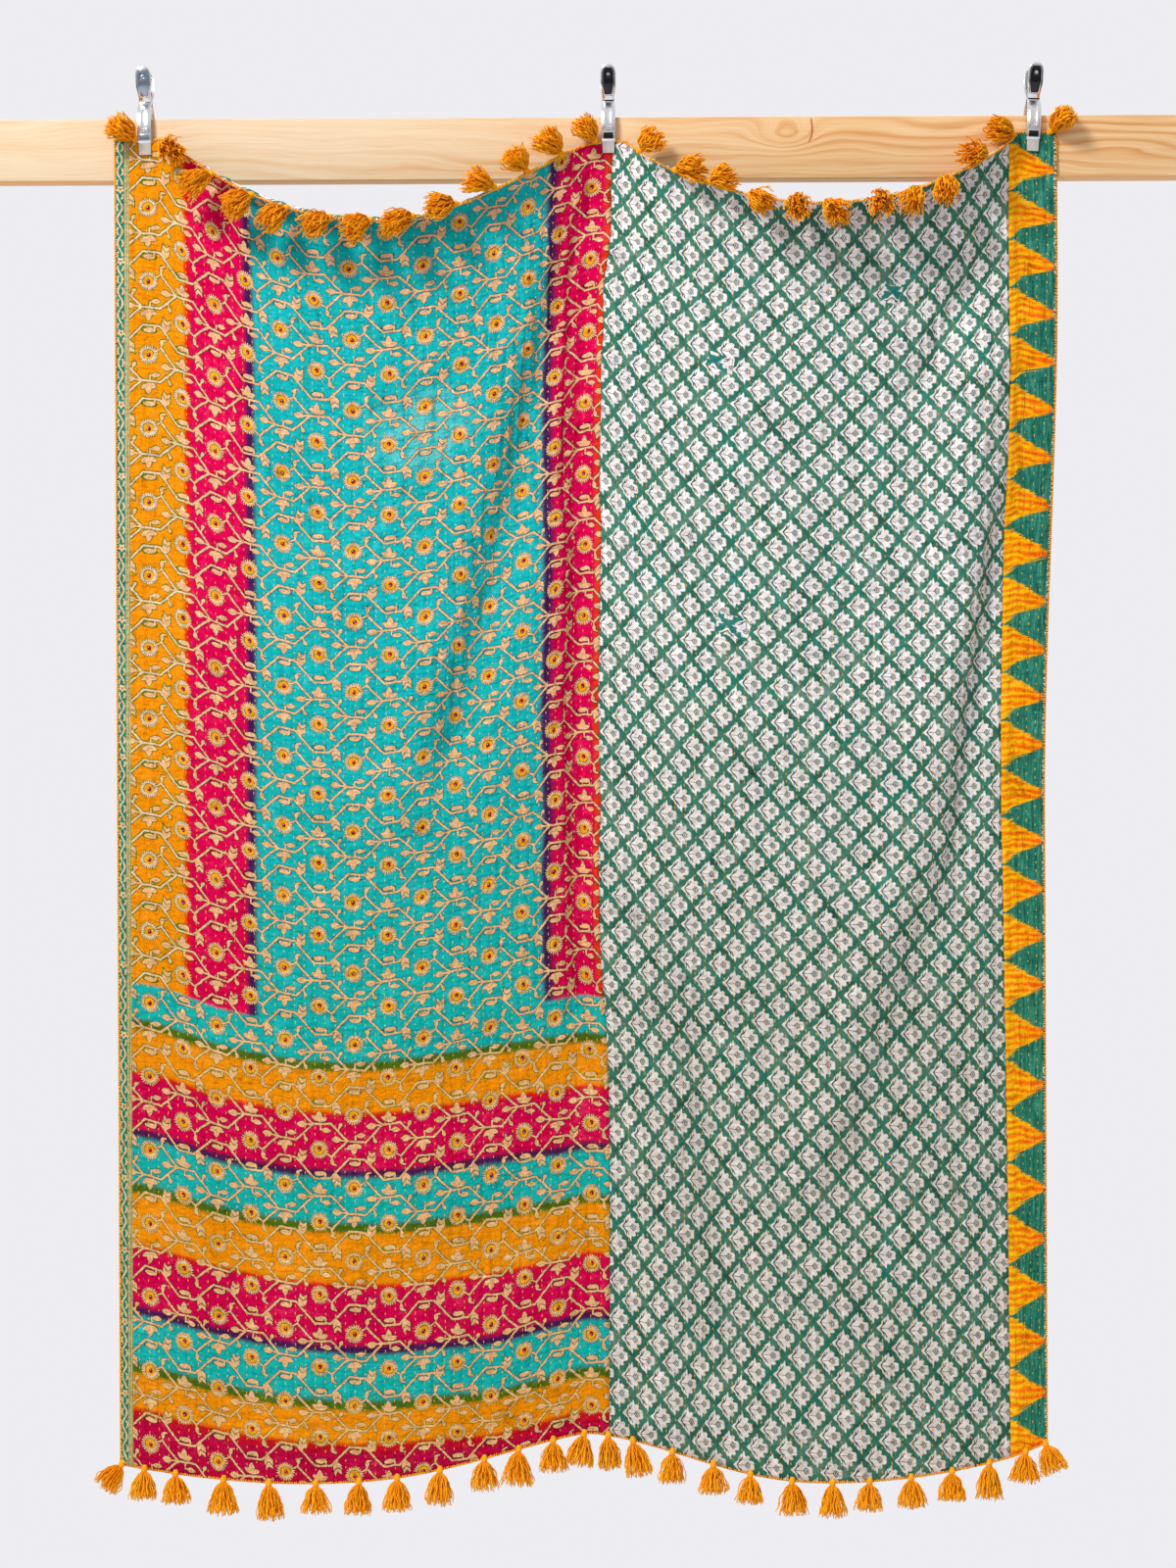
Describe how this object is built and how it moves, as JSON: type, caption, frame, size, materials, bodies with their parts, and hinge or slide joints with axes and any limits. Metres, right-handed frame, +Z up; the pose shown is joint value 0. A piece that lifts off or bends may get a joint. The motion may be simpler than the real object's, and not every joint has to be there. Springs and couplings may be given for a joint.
{
  "type": "kantha quilt hung by spring clips on a timber rail",
  "caption": "Stitched patchwork cotton quilt with tasselled top and hem, hanging in soft swags from spring clips on a plain timber rail.",
  "frame": {"origin": "middle of the rail's back face, where the rail is fixed", "axes": "+Z up, +X along the rail to the viewer's right, +Y out of the rail's back face, away from the viewer"},
  "size_m": [1.9, 0.1949, 2.1219],
  "materials": {
    "pine": "planed",
    "steel": "polished",
    "sari_cotton": "printed",
    "leaf_cotton": "printed",
    "ikat_cotton": "woven",
    "yarn": "matt"
  },
  "bodies": {
    "root": {"rail": "pine", "sari_panel": "sari_cotton", "leaf_panel": "leaf_cotton", "ikat_border": "ikat_cotton", "tassels_top_left": "yarn", "tassels_top_right": "yarn", "tassels_hem_left": "yarn", "tassels_hem_right": "yarn", "clip_left_front": "steel", "clip_left_back": "steel", "clip_left_spring": "steel", "clip_middle_front": "steel", "clip_middle_back": "steel", "clip_middle_spring": "steel", "clip_right_front": "steel", "clip_right_back": "steel", "clip_right_spring": "steel"}
  },
  "joints": []
}
